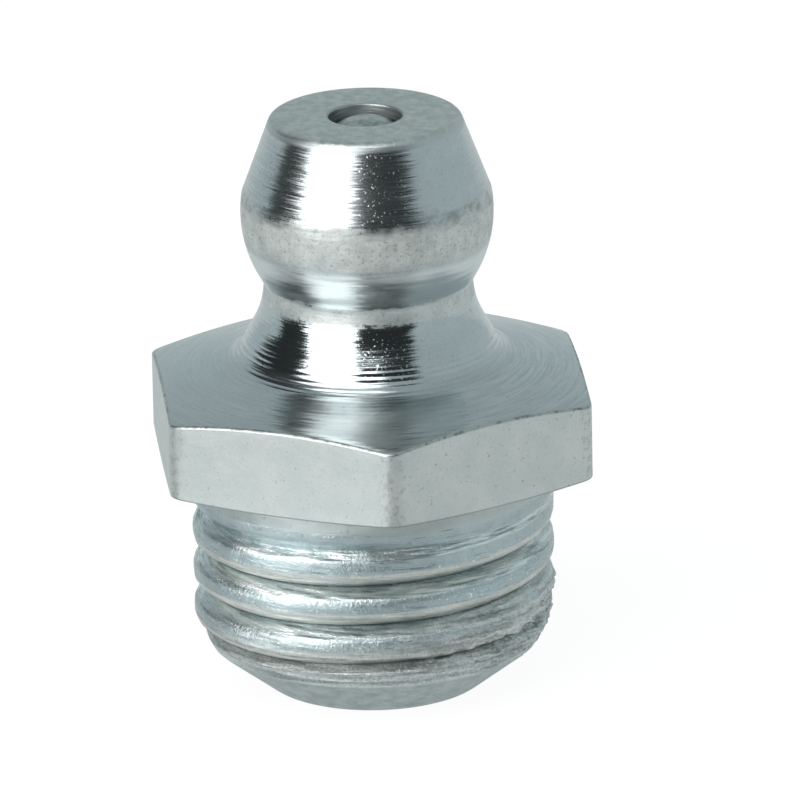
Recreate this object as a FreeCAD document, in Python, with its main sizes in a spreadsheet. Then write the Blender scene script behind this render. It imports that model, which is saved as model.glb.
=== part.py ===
"""Straight grease nipple: a turned hexagonal body with a threaded shank, a check ball and its spring.

Millimetres. The origin is the centre of the threaded end face, and +Z runs up the axis to the head.
Two corners of the hexagon lie on the X axis.
"""
import FreeCAD, Part
import Sketcher
import os

doc = FreeCAD.newDocument("grease_nipple")

# Driving dimensions
sheet = doc.addObject("Spreadsheet::Sheet", "Sheet")
SIZES = [
    ("shank_length", 6.05, "end face to the underside of the hexagon"),
    ("thread_diameter", 9.32, "over the thread's crests"),
    ("thread_pitch", 1.058, "one turn, 24 turns to the inch"),
    ("thread_depth", 0.48, "crest to root"),
    ("thread_angle", 60, "between a groove's two flanks, degrees"),
    ("thread_collar", 0.806, "underside of the hexagon to the middle of the groove where it ends"),
    ("groove_lead", 0.099, "how far below the end face the groove starts, in the air"),
    ("thread_crest_round", 0.3, "radius along both edges of a crest"),
    ("groove_overcut", 0.02, "how far the groove's section reaches past the crests"),
    ("end_face_diameter", 5.5, "flat ring that the nipple stands on"),
    ("end_cone_diameter", 8.5, "where the end cone meets the thread's chamfer"),
    ("end_cone_height", 1.16, "end face to that edge"),
    ("thread_chamfer_height", 2.0, "end face to the first full crest"),
    ("hex_across_flats", 10.86, "an 11 mm spanner size"),
    ("hex_height", 2.08, "underside to the top of a corner"),
    ("hex_corner_round", 0.5, "radius along each upright corner"),
    ("hex_under_slope", 8, "cone under the corners, degrees"),
    ("shoulder_slope", 14.5, "cone on top of the hexagon, degrees"),
    ("shoulder_round", 0.9, "radius where the shoulder meets the neck"),
    ("neck_diameter", 5.38, "under the head"),
    ("neck_curve_share", 1.273, "radius from the neck into the flare, over the neck's height"),
    ("neck_flare", 29, "slope of the flare from the axis, degrees"),
    ("head_diameter", 6.5, "ball part of the head"),
    ("head_rise", 4.56, "top of the hexagon's corners to the centre of the ball part"),
    ("face_rise", 2.54, "that centre to the flat top"),
    ("head_taper_start", 0.516, "from that centre up to the edge of the taper"),
    ("head_face_diameter", 4.9, "flat top before its edge is rounded"),
    ("head_edge_round", 0.15, "radius round the flat top"),
    ("inlet_diameter", 1.9, "hole in the flat top"),
    ("ball_diameter", 2.5, "check ball"),
    ("ball_depth", 0.03, "top of the ball below the flat top"),
    ("seat_angle", 35, "slope of the seat from the axis, degrees"),
    ("seat_gap", 0.03, "between the ball and its seat, and between the ball and its spring"),
    ("chamber_diameter", 2.8, "bore that holds the ball and the spring"),
    ("lip_height", 0.6, "rolled-in end that holds the spring"),
    ("outlet_diameter", 1.9, "hole through that end"),
    ("spring_diameter", 2.5, "over the coils"),
    ("spring_wire", 0.3, "wire of the spring"),
    ("spring_turns", 10, "turns of the spring"),
    ("spring_gap", 0.02, "between the spring and the rolled-in end"),
]
for row, (alias, value, meaning) in enumerate(SIZES, start=1):
    sheet.set("A%d" % row, alias)
    sheet.set("B%d" % row, str(value))
    sheet.set("C%d" % row, meaning)
    sheet.setAlias("B%d" % row, alias)
doc.recompute()

# Places worked out from the driving dimensions
HEX_TOP = "(Sheet.shank_length + Sheet.hex_height)"
HEX_FLAT = "(Sheet.hex_across_flats / 2)"
CORNER = "(%s / cos(30 deg) - Sheet.hex_corner_round * (1 / cos(30 deg) - 1))" % HEX_FLAT
STOCK = "(Sheet.hex_across_flats * 0.65)"
SLOPE = "tan(Sheet.shoulder_slope * 1 deg)"
FLARE = "(Sheet.neck_flare * 1 deg)"
CREST = "(Sheet.thread_diameter / 2)"
HEAD = "(Sheet.head_diameter / 2)"
NECK = "(Sheet.neck_diameter / 2)"
HEAD_Z = "(%s + Sheet.head_rise)" % HEX_TOP
TOP_Z = "(%s + Sheet.face_rise)" % HEAD_Z
CREASE_Z = "(%s - sqrt(%s ^ 2 - %s ^ 2))" % (HEAD_Z, HEAD, NECK)
NECK_LENGTH = "(%s - %s - (%s - %s) * %s)" % (CREASE_Z, HEX_TOP, CORNER, NECK, SLOPE)
NECK_CURVE = "(Sheet.neck_curve_share * %s)" % NECK_LENGTH
BEND_R = "(%s + %s * (1 - cos(%s)))" % (NECK, NECK_CURVE, FLARE)
BEND_Z = "(%s - %s * sin(%s))" % (CREASE_Z, NECK_CURVE, FLARE)
FOOT_R = "((%s + %s / tan(%s) - %s - %s * %s) / (1 / tan(%s) - %s))" % (
    BEND_Z, BEND_R, FLARE, HEX_TOP, CORNER, SLOPE, FLARE, SLOPE)
FOOT_Z = "(%s + (%s - %s) * %s)" % (HEX_TOP, CORNER, FOOT_R, SLOPE)
TAPER_R = "sqrt(%s ^ 2 - Sheet.head_taper_start ^ 2)" % HEAD
BALL = "(Sheet.ball_diameter / 2)"
BALL_Z = "(%s - Sheet.ball_depth - %s)" % (TOP_Z, BALL)
SEAT = "(Sheet.seat_angle * 1 deg)"
SEAT_R = "((%s + Sheet.seat_gap) * cos(%s))" % (BALL, SEAT)
SEAT_Z = "(%s + (%s + Sheet.seat_gap) * sin(%s))" % (BALL_Z, BALL, SEAT)
INLET = "(Sheet.inlet_diameter / 2)"
CHAMBER = "(Sheet.chamber_diameter / 2)"
WIRE = "(Sheet.spring_wire / 2)"
COIL = "(Sheet.spring_diameter / 2 - %s)" % WIRE
SPRING_LOW = "(Sheet.lip_height + Sheet.spring_gap + %s)" % WIRE
SPRING_TOP = "(%s - sqrt((%s + %s + Sheet.seat_gap) ^ 2 - %s ^ 2))" % (BALL_Z, BALL, WIRE, COIL)


def origin_item(body, role):
    """One of a body's own origin planes or axes, by its role."""
    return next(item for item in body.Origin.OriginFeatures if item.Role == role)


def new_body(label):
    """A body whose label names its file."""
    body = doc.addObject("PartDesign::Body", label)
    body.Label = label
    return body


def new_sketch(body, role, name, height=None):
    """A sketch on one of the body's origin planes, lifted off it by a height in the sheet's sizes."""
    sketch = body.newObject("Sketcher::SketchObject", name)
    sketch.AttachmentSupport = (origin_item(body, role), "")
    sketch.MapMode = "FlatFace"
    if height:
        # An upright plane's sketch has its own y along the axis.
        along = "z" if role == "XY_Plane" else "y"
        sketch.setExpression(".AttachmentOffset.Base." + along, height)
    return sketch


def arc_between(start, end, radius):
    """The shorter arc from start to end. It bulges to the right of that way, or left if radius is negative."""
    chord = end - start
    half = chord.Length / 2
    rise = abs(radius) - (radius ** 2 - half ** 2) ** 0.5
    right = FreeCAD.Vector(chord.y, -chord.x, 0).normalize()
    side = 1 if radius > 0 else -1
    middle = (start + end) / 2 + right * rise * side
    return Part.Arc(start, middle, end)


def draw_outline(sketch, corners):
    """A closed outline with every corner held at its place by the sheet's sizes.

    Each corner is (name, x, y) before a straight edge, or (name, x, y, bend) before an arc of that radius.
    """
    places = [FreeCAD.Vector(sketch.evalExpression(corner[1]), sketch.evalExpression(corner[2]), 0)
              for corner in corners]
    count = len(corners)
    near_ends = []
    for index, corner in enumerate(corners):
        start = places[index]
        end = places[(index + 1) % count]
        if len(corner) == 3:
            sketch.addGeometry(Part.LineSegment(start, end))
        else:
            sketch.addGeometry(arc_between(start, end, sketch.evalExpression(corner[3])))
        starts_here = sketch.getPoint(index, 1).isEqual(start, 1e-6)
        near_ends.append(1 if starts_here else 2)
    for index, corner in enumerate(corners):
        following = (index + 1) % count
        far_end = 3 - near_ends[index]
        sketch.addConstraint(Sketcher.Constraint("Coincident", index, far_end, following, near_ends[following]))
        bind(sketch, ("DistanceX", -1, 1, index, near_ends[index]), corner[0] + "_x", corner[1])
        bind(sketch, ("DistanceY", -1, 1, index, near_ends[index]), corner[0] + "_y", corner[2])
        if len(corner) == 4:
            bind(sketch, ("Radius", index), corner[0] + "_bend", "abs(%s)" % corner[3])


def bind(sketch, parts, name, expression):
    """A named sketch constraint whose value follows an expression."""
    place = sketch.addConstraint(Sketcher.Constraint(*parts, float(sketch.evalExpression(expression))))
    sketch.renameConstraint(place, name)
    sketch.setExpression("Constraints." + name, expression)


def turn(body, kind, name, sketch):
    """A full turn of a sketch about the body's axis, added or cut away."""
    feature = body.newObject(kind, name)
    feature.Profile = sketch
    feature.ReferenceAxis = (origin_item(body, "Z_Axis"), "")
    feature.Angle = 360
    doc.recompute()
    return feature


def circle_edges(shape, radius, height):
    """Names of the round edges of that radius at that height."""
    names = []
    for number, edge in enumerate(shape.Edges, start=1):
        round_edge = isinstance(edge.Curve, Part.Circle)
        if round_edge and abs(edge.Curve.Radius - radius) < 1e-4 and abs(edge.Curve.Center.z - height) < 1e-4:
            names.append("Edge%d" % number)
    return names


def upright_edges(shape):
    """Names of the straight edges that run along the axis."""
    names = []
    for number, edge in enumerate(shape.Edges, start=1):
        if isinstance(edge.Curve, Part.Line) and abs(edge.Curve.Direction.z) > 0.999:
            names.append("Edge%d" % number)
    return names


def round_off(body, base, names, name, radius):
    """Rounds the named edges of a feature."""
    fillet = body.newObject("PartDesign::Fillet", name)
    fillet.Base = (base, names)
    fillet.setExpression("Radius", radius)
    doc.recompute()
    return fillet


def hexagon_bar(body):
    """The hexagonal bar that the nipple is turned from, with its six upright corners rounded."""
    sketch = new_sketch(body, "XY_Plane", "HexagonSketch")
    corner = "Sheet.hex_across_flats / 2 / cos(30 deg)"
    corners = [("corner%d" % index, "%s * cos(%d deg)" % (corner, 60 * index), "%s * sin(%d deg)" % (corner, 60 * index))
               for index in range(6)]
    draw_outline(sketch, corners)
    pad = body.newObject("PartDesign::Pad", "HexagonBar")
    pad.Profile = sketch
    pad.setExpression("Length", TOP_Z)
    doc.recompute()
    return round_off(body, pad, upright_edges(pad.Shape), "HexagonCorners", "Sheet.hex_corner_round")


def turned_head(body):
    """Turns the bar down above the hexagon: shoulder cone, flare, neck, ball part, taper and flat top."""
    sketch = new_sketch(body, "XZ_Plane", "HeadSketch")
    draw_outline(sketch, [
        ("foot", FOOT_R, FOOT_Z),
        ("shoulder", STOCK, "%s - (%s - %s) * %s" % (HEX_TOP, STOCK, CORNER, SLOPE)),
        ("clear", STOCK, TOP_Z),
        ("face", "Sheet.head_face_diameter / 2", TOP_Z),
        ("taper", TAPER_R, HEAD_Z + " + Sheet.head_taper_start", "-1 * " + HEAD),
        ("crease", NECK, CREASE_Z, NECK_CURVE),
        ("bend", BEND_R, BEND_Z),
    ])
    return turn(body, "PartDesign::Groove", "TurnedHead", sketch)


def turned_shank(body):
    """Turns the bar down below the hexagon: the hexagon's underside, the shank, its chamfer and the end cone."""
    sketch = new_sketch(body, "XZ_Plane", "ShankSketch")
    under = "Sheet.shank_length + (%s - %s) * tan(Sheet.hex_under_slope * 1 deg)" % (STOCK, HEX_FLAT)
    draw_outline(sketch, [
        ("face", "Sheet.end_face_diameter / 2", "0"),
        ("clear", STOCK, "0"),
        ("under", STOCK, under),
        ("flat", HEX_FLAT, "Sheet.shank_length"),
        ("shank", CREST, "Sheet.shank_length"),
        ("chamfer", CREST, "Sheet.thread_chamfer_height"),
        ("cone", "Sheet.end_cone_diameter / 2", "Sheet.end_cone_height"),
    ])
    return turn(body, "PartDesign::Groove", "TurnedShank", sketch)


def drilled_bore(body):
    """Outlet through the rolled-in end, spring chamber, ball seat and inlet."""
    sketch = new_sketch(body, "XZ_Plane", "BoreSketch")
    outlet = "Sheet.outlet_diameter / 2"
    draw_outline(sketch, [
        ("axis_low", "0", "0"),
        ("outlet_low", outlet, "0"),
        ("outlet_high", outlet, "Sheet.lip_height"),
        ("chamber_low", CHAMBER, "Sheet.lip_height"),
        ("chamber_high", CHAMBER, "%s - (%s - %s) / tan(%s)" % (SEAT_Z, CHAMBER, SEAT_R, SEAT)),
        ("seat_high", INLET, "%s + (%s - %s) / tan(%s)" % (SEAT_Z, SEAT_R, INLET, SEAT)),
        ("inlet_high", INLET, TOP_Z),
        ("axis_high", "0", TOP_Z),
    ])
    return turn(body, "PartDesign::Groove", "DrilledBore", sketch)


def rolled_thread(body):
    """The right-hand groove of the thread, from the air below the chamfer to its end under the hexagon."""
    sketch = new_sketch(body, "XZ_Plane", "ThreadSketch", height="-1 * Sheet.groove_lead")
    half_angle = "(Sheet.thread_angle / 2 * 1 deg)"
    mouth = "(%s + Sheet.groove_overcut)" % CREST
    edge = "((Sheet.thread_depth + Sheet.groove_overcut) * tan(%s))" % half_angle
    # The rounding touches the flank and the crest this far from their sharp edge.
    touch = "(Sheet.thread_crest_round * tan((90 deg - %s) / 2))" % half_angle
    flank_r = "%s - %s * cos(%s)" % (mouth, touch, half_angle)
    flank_z = "(%s - %s * sin(%s))" % (edge, touch, half_angle)
    crest_z = "(%s + %s)" % (edge, touch)
    draw_outline(sketch, [
        ("root", "%s - Sheet.thread_depth" % CREST, "0"),
        ("low_flank", flank_r, "-1 * " + flank_z, "-1 * Sheet.thread_crest_round"),
        ("low_crest", mouth, "-1 * " + crest_z),
        ("high_crest", mouth, crest_z, "-1 * Sheet.thread_crest_round"),
        ("high_flank", flank_r, flank_z),
    ])
    groove = body.newObject("PartDesign::SubtractiveHelix", "ThreadGroove")
    groove.Profile = sketch
    groove.ReferenceAxis = (origin_item(body, "Z_Axis"), "")
    groove.Mode = "pitch-turns-angle"
    groove.LeftHanded = False
    groove.setExpression("Pitch", "Sheet.thread_pitch")
    groove.setExpression("Turns", "(Sheet.shank_length - Sheet.thread_collar + Sheet.groove_lead) / Sheet.thread_pitch")
    doc.recompute()
    return groove


def nipple_body():
    """The one-piece body, turned from hexagonal bar, drilled, rolled with its thread and closed at its end."""
    body = new_body("nipple_body")
    hexagon_bar(body)
    turned_head(body)
    head = turned_shank(body)
    foot_radius = head.evalExpression(FOOT_R)
    foot_height = head.evalExpression(FOOT_Z)
    foot = round_off(body, head, circle_edges(head.Shape, foot_radius, foot_height),
                     "ShoulderRound", "Sheet.shoulder_round")
    face_height = head.evalExpression(TOP_Z)
    face = round_off(body, foot, circle_edges(foot.Shape, sheet.head_face_diameter / 2, face_height),
                     "HeadEdge", "Sheet.head_edge_round")
    uncut = drilled_bore(body).Shape.Volume
    thread = rolled_thread(body)
    body.Tip = thread
    doc.recompute()
    groove_volume = uncut - thread.Shape.Volume
    print("thread groove removes %.2f cubic mm" % groove_volume)
    return body


def check_ball():
    """The ball that the spring holds against the seat under the inlet."""
    ball = doc.addObject("Part::Sphere", "check_ball")
    ball.Label = "check_ball"
    ball.setExpression("Radius", BALL)
    ball.setExpression("Placement.Base.z", BALL_Z)
    return ball


def return_spring():
    """The compression spring between the rolled-in end and the ball."""
    path = doc.addObject("Part::Helix", "SpringPath")
    path.setExpression("Radius", COIL)
    path.setExpression("Pitch", "(%s - %s) / Sheet.spring_turns" % (SPRING_TOP, SPRING_LOW))
    path.setExpression("Height", "%s - %s" % (SPRING_TOP, SPRING_LOW))
    path.setExpression("Placement.Base.z", SPRING_LOW)
    # Each edge of the path is half a turn.
    path.SegmentLength = 0.5
    doc.recompute()
    wire = doc.addObject("Part::Circle", "SpringWire")
    wire.setExpression("Radius", WIRE)
    wire.Placement.Rotation = FreeCAD.Rotation(FreeCAD.Vector(1, 0, 0), 90)
    wire.setExpression("Placement.Base.x", COIL)
    wire.setExpression("Placement.Base.z", SPRING_LOW)
    spring = doc.addObject("Part::Sweep", "return_spring")
    spring.Label = "return_spring"
    spring.Sections = [wire]
    spring.Spine = (path, ["Edge%d" % number for number in range(1, len(path.Shape.Edges) + 1)])
    spring.Solid = True
    spring.Frenet = True
    return spring


def write_pieces(pieces):
    """Checks every object and each piece, then writes one STEP file for each piece."""
    doc.recompute()
    for item in doc.Objects:
        failed = [state for state in item.State if state in ("Invalid", "Error")]
        if failed:
            raise RuntimeError("%s failed to build" % item.Label)
    for piece in pieces:
        if piece.Shape.isNull() or not piece.Shape.isValid():
            raise RuntimeError("%s has no valid shape" % piece.Label)
    os.makedirs("parts", exist_ok=True)
    for piece in pieces:
        print("%s: %d solid, %.3f cubic mm" % (piece.Label, len(piece.Shape.Solids), piece.Shape.Volume))
        piece.Shape.exportStep("parts/%s.step" % piece.Label)


write_pieces([nipple_body(), check_ball(), return_spring()])
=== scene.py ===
"""Looks of a zinc-plated grease nipple: detailed meshes, metal finishes, a studio and the camera."""
import math

import bmesh
import bpy
import numpy as np
from mathutils import Matrix, Quaternion, Vector


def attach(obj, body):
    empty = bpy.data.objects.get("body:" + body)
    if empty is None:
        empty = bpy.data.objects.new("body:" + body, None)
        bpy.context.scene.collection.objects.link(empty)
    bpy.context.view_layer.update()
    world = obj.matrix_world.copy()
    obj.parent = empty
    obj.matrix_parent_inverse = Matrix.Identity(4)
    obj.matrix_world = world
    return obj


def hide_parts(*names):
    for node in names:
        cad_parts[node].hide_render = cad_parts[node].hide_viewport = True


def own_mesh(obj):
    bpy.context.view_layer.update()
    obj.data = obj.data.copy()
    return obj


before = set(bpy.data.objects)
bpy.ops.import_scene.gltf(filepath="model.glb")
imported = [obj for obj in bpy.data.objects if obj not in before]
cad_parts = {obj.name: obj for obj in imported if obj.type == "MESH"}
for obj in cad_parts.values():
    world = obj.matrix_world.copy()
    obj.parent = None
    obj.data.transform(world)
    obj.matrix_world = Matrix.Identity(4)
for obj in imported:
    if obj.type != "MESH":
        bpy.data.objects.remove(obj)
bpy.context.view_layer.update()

# Sizes in metres, the same as the CAD model's
MM = 0.001
TOTAL_HEIGHT = 15.23 * MM
SHANK_LENGTH = 6.05 * MM
CREST_RADIUS = 4.66 * MM
PITCH = 1.058 * MM
THREAD_DEPTH = 0.48 * MM
FLANK_ANGLE = math.radians(30)
CREST_ROUND = 0.30 * MM
PLAIN_COLLAR = 0.806 * MM
GROOVE_START = -0.099 * MM
END_FACE_RADIUS = 2.75 * MM
END_CONE_RADIUS = 4.25 * MM
END_CONE_HEIGHT = 1.16 * MM
CHAMFER_HEIGHT = 2.0 * MM
FLAT_RADIUS = 5.43 * MM
HEX_HEIGHT = 2.08 * MM
CORNER_ROUND = 0.5 * MM
UNDER_SLOPE = math.tan(math.radians(8))
SHOULDER_SLOPE = math.tan(math.radians(14.5))
SHOULDER_ROUND = 0.9 * MM
NECK_RADIUS = 2.69 * MM
NECK_CURVE = 2.33 * MM
FLARE = math.radians(29)
HEAD_RADIUS = 3.25 * MM
HEAD_CENTRE = 12.69 * MM
TAPER_START = 0.516 * MM
FACE_RADIUS = 2.45 * MM
INLET_RADIUS = 0.95 * MM
BALL_RADIUS = 1.25 * MM
BALL_RECESS = 0.03 * MM
SEAT_SLOPE = math.radians(35)
SEAT_GAP = 0.03 * MM
CHAMBER_RADIUS = 1.4 * MM
LIP_HEIGHT = 0.6 * MM
OUTLET_RADIUS = 0.95 * MM
COIL_RADIUS = 1.1 * MM
WIRE_RADIUS = 0.15 * MM
SPRING_TURNS = 10
SPRING_GAP = 0.02 * MM

# Places and radii worked out from those sizes
GROOVE_SLOPE = math.tan(FLANK_ANGLE)
GROOVE_TOP = SHANK_LENGTH - PLAIN_COLLAR
HEX_TOP = SHANK_LENGTH + HEX_HEIGHT
HEX_HALF_ANGLE = math.pi / 6
CORNER_RADIUS = FLAT_RADIUS / math.cos(HEX_HALF_ANGLE) - CORNER_ROUND * (1 / math.cos(HEX_HALF_ANGLE) - 1)
CREASE_HEIGHT = HEAD_CENTRE - math.sqrt(HEAD_RADIUS ** 2 - NECK_RADIUS ** 2)
BEND_RADIUS = NECK_RADIUS + NECK_CURVE * (1 - math.cos(FLARE))
BEND_HEIGHT = CREASE_HEIGHT - NECK_CURVE * math.sin(FLARE)
FOOT_RADIUS = ((BEND_HEIGHT + BEND_RADIUS / math.tan(FLARE) - HEX_TOP - CORNER_RADIUS * SHOULDER_SLOPE)
               / (1 / math.tan(FLARE) - SHOULDER_SLOPE))
TAPER_RADIUS = math.sqrt(HEAD_RADIUS ** 2 - TAPER_START ** 2)
BALL_CENTRE = TOTAL_HEIGHT - BALL_RECESS - BALL_RADIUS
SEAT_RADIUS = (BALL_RADIUS + SEAT_GAP) * math.cos(SEAT_SLOPE)
SEAT_HEIGHT = BALL_CENTRE + (BALL_RADIUS + SEAT_GAP) * math.sin(SEAT_SLOPE)
SEAT_TOP = SEAT_HEIGHT + (SEAT_RADIUS - INLET_RADIUS) / math.tan(SEAT_SLOPE)
SEAT_LOW = SEAT_HEIGHT - (CHAMBER_RADIUS - SEAT_RADIUS) / math.tan(SEAT_SLOPE)
SPRING_LOW = LIP_HEIGHT + SPRING_GAP + WIRE_RADIUS
SPRING_TOP = BALL_CENTRE - math.sqrt((BALL_RADIUS + WIRE_RADIUS + SEAT_GAP) ** 2 - COIL_RADIUS ** 2)

# Further sizes of the looks
EDGE_WEAR = 0.07 * MM
FACE_ROUND = 0.16 * MM
INLET_ROUND = 0.06 * MM
OUTLET_ROUND = 0.12 * MM
END_ROUND = 0.15 * MM
LIP_BEVEL = 0.05 * MM
FADE_HEIGHT = 0.55 * PITCH
TURN_GAP = 0.02 * MM

# Wear of the shank: heights over which it sets in and fades out, and the side where it is torn highest
WEAR_START = (1.0 * MM, 1.5 * MM)
WEAR_END = (5.7 * MM, 5.95 * MM)
TORN_END = (2.3 * MM, 3.3 * MM)
TORN_SIDE = math.radians(15)
TORN_DEPTH = 0.03 * MM
SMEARED_SHARE = 0.4

# Lumps of the worn shank: size, depth and seed of each layer
FINE_LUMPS = ((0.22 * MM, 0.003 * MM, 3), (0.7 * MM, 0.010 * MM, 4))
TORN_LUMPS = ((0.28 * MM, 0.06 * MM, 5), (0.8 * MM, 0.05 * MM, 6))
LUMP_WAVES = 14

# Mesh fineness. The steps round the axis are a multiple of 12, so that the hexagon's corners lie on vertices,
# and few enough to keep the body under 200,000 triangles.
ANGLE_STEPS = 456
RING_STEPS = 16
TURN_STEPS = 48
BALL_FINENESS = 6
SHARP_ANGLE = math.radians(40)
WELD_DISTANCE = MM * 1e-5
ROUNDING_SHARES = (0.3, 0.6, 0.85)

# How far rows stop short of a rounded corner or, in degrees, of the crease
RIM_DEPTH = 0.1 * MM
RIM_WIDTH = 0.12 * MM
FACE_MARGIN = 0.2 * MM
CREASE_MARGIN = 0.8
FOOT_MARGIN = 0.42 * MM
UNDER_MARGIN = 0.06 * MM

# Rows of the shank's mesh within one pitch, measured up from a groove's root
HALF_OFFSETS = np.array([0, 0.03, 0.09, 0.16, 0.22, 0.27, 0.32, 0.38, 0.45]) * MM
SHANK_OFFSETS = np.concatenate([HALF_OFFSETS, [PITCH / 2], PITCH - HALF_OFFSETS[:0:-1]])
SHANK_SHIFT = len(SHANK_OFFSETS)

# Heights where the rows that follow the helix end and where those of the end cone start
HELIX_LOW = 0.5 * MM
CONE_TOP = 0.45 * MM
END_FACE_ROWS = (2.4 * MM, 1.2 * MM)

# The camera's bearing from the object, and the photograph's width, scale and pixel of the axis
CAMERA_AZIMUTH = math.radians(25.11)
CAMERA_ELEVATION = math.radians(18.66)
CAMERA_ROLL = math.radians(1.10)
CAMERA_DISTANCE = 357 * MM
PIXELS_PER_METRE = 38846
PHOTO_WIDTH = 800
PHOTO_AXIS_X = 370.34
PHOTO_AXIS_Y = 377.87
SENSOR_WIDTH = 36.0

# The studio for the metal: bearings in degrees from the camera, positive to its right, and lifts in degrees
BOX_SIDES = (-68, -14)
BOX_LIFTS = (0.0, 66.0)
OVERHANG_SIDES = (-17, 12)
OVERHANG_LIFTS = (42.0, 66.0)
TOP_SIDES = (-58, 10)
TOP_LIFT = (62.0, 74.0)
LEFT_CARD_SIDES = (-104, -68)
LEFT_CARD_LIFTS = (-10.0, 62.0)
HIGH_LEFT_SIDES = (-128, -68)
HIGH_LEFT_LIFTS = (13.0, 62.0)
RIGHT_CARD_START = (-17.0, -11.0)
RIGHT_CARD_END = (43.0, 51.0)
RIGHT_CARD_LIFTS = (-10.0, 42.0)

# Strengths of the studio's light; the room's is given for low and for high places
ROOM_LIGHT = (0.60, 0.50)
CARD_LIGHT = 0.035
BOX_LIGHT = 2.5
TOP_LIGHT = 0.7
BOX_TINT = (1.0, 1.0, 1.0)
ROOM_TINT = (0.86, 1.0, 1.03)

# The floor: its half width, the ring that mirrors the studio with its soft edge, and its light
FLOOR_REACH = 400 * MM
FLOOR_RING = (8 * MM, 21 * MM, 2 * MM)
FLOOR_LIGHT = 0.68
FLOOR_CARD_LIGHT = 0.44
FLOOR_BOX_LIGHT = 0.45
FLOOR_WHITE = 1.06
PAPER = (0.92, 0.92, 0.91, 1.0)
FLOOR_TINT = (0.92, 1.0, 1.01, 1.0)
WHITE = (1.0, 1.0, 1.0, 1.0)
CAMERA_SHARE = 0.88
GLOSSY_SHARE = 0.85

# Colours of the metal; a pair is the two ends of a mottled finish
TURNED_ZINC = ((0.50, 0.54, 0.545), (0.60, 0.635, 0.64))
MATTE_ZINC = ((0.59, 0.62, 0.60), (0.79, 0.80, 0.775))
FACE_ZINC = ((0.47, 0.505, 0.485), (0.61, 0.635, 0.62))
FEED_MARKS = (0.46, 0.50, 0.51)
# Pale colour of a band on the head's downward-facing lower part: a painted reflection of the floor.
PAINTED_HEAD_REFLECTION = (0.72, 0.76, 0.76)
TURNED_DIRT = (0.13, 0.14, 0.13)
SATIN_ZINC = ((0.63, 0.67, 0.66), (0.71, 0.73, 0.71))
SATIN_GRAIN = (0.45, 0.46, 0.44)
SATIN_SPECKS = (0.25, 0.25, 0.23)
# Dark of worn hexagon edges, also used as painted shade on the hexagon's underside.
WORN_EDGE_AND_SHADE = (0.20, 0.21, 0.20)
CREST_ZINC = ((0.44, 0.53, 0.55), (0.58, 0.65, 0.66))
COLLAR_ZINC = ((0.54, 0.59, 0.59), (0.64, 0.67, 0.66))
CONE_ZINC = ((0.42, 0.47, 0.47), (0.57, 0.61, 0.61))
FLANK_ZINC = (0.72, 0.79, 0.79)
DARK_LINES = (0.13, 0.19, 0.20)
BRIGHT_LINES = (0.86, 0.90, 0.90)
# Pale warm strips on the groove's downward-facing upper flank: a painted reflection of the floor.
PAINTED_THREAD_REFLECTION = ((0.96, 0.94, 0.88), (0.66, 0.66, 0.62))
# White of small glints painted on the cut thread.
PAINTED_GLINTS = (0.97, 0.98, 0.97)
TORN_METAL = ((0.27, 0.285, 0.28), (0.90, 0.92, 0.90))
# Dark of dirt specks and streaks on the thread, and of painted shade along the groove's root.
THREAD_DIRT_AND_SHADE = (0.10, 0.11, 0.11)
DRILLED_STEEL = ((0.30, 0.32, 0.32), (0.50, 0.52, 0.51))
GROUND_STEEL = ((0.32, 0.35, 0.34), (0.54, 0.57, 0.56))
DRAWN_WIRE = ((0.30, 0.31, 0.32), (0.46, 0.47, 0.48))

# Periods of the feed marks and of the torn turn's ridges in millimetres, and a micron in metres
FEED_PERIOD = 0.21
RIDGE_PERIOD = 0.23
MICRON = 0.000001


def smooth_step(value, low, high):
    """0 below low, 1 above high and smooth between them."""
    share = np.clip((value - low) / (high - low), 0, 1)
    return share * share * (3 - 2 * share)


def lumps(points, size, seed):
    """Smooth noise from about -1 to 1 at places in metres: waves in seeded directions."""
    waves = np.random.default_rng(seed)
    total = np.zeros(points.shape[:-1])
    for _ in range(LUMP_WAVES):
        direction = waves.normal(size=3)
        direction *= waves.uniform(0.6, 1.6) / (size * np.linalg.norm(direction))
        total += np.sin(points @ direction * 2 * math.pi + waves.uniform(0, 2 * math.pi))
    return total / math.sqrt(LUMP_WAVES / 2) / 2


def line(start, end, steps):
    """Points from start towards end, the end left out."""
    return [(start[0] + (end[0] - start[0]) * i / steps, start[1] + (end[1] - start[1]) * i / steps)
            for i in range(steps)]


def arc(centre, radius, first, last, steps):
    """Points along an arc between two angles in degrees, the last left out."""
    angles = [math.radians(first + (last - first) * i / steps) for i in range(steps)]
    return [(centre[0] + radius * math.cos(a), centre[1] + radius * math.sin(a)) for a in angles]


def corner(before, point, after, reach, steps):
    """A rounded corner at point between two neighbours: a curve that starts and ends at reach from it."""
    point = Vector(point)
    start = point + (Vector(before) - point).normalized() * reach
    end = point + (Vector(after) - point).normalized() * reach
    shares = [i / steps for i in range(steps + 1)]
    curve = [start * (1 - s) ** 2 + point * 2 * s * (1 - s) + end * s ** 2 for s in shares]
    return [(p.x, p.y) for p in curve]


def curved(start, middle, end, share):
    """A number on its way from start to end, drawn towards a middle one."""
    return (1 - share) ** 2 * start + 2 * share * (1 - share) * middle + share ** 2 * end


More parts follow.
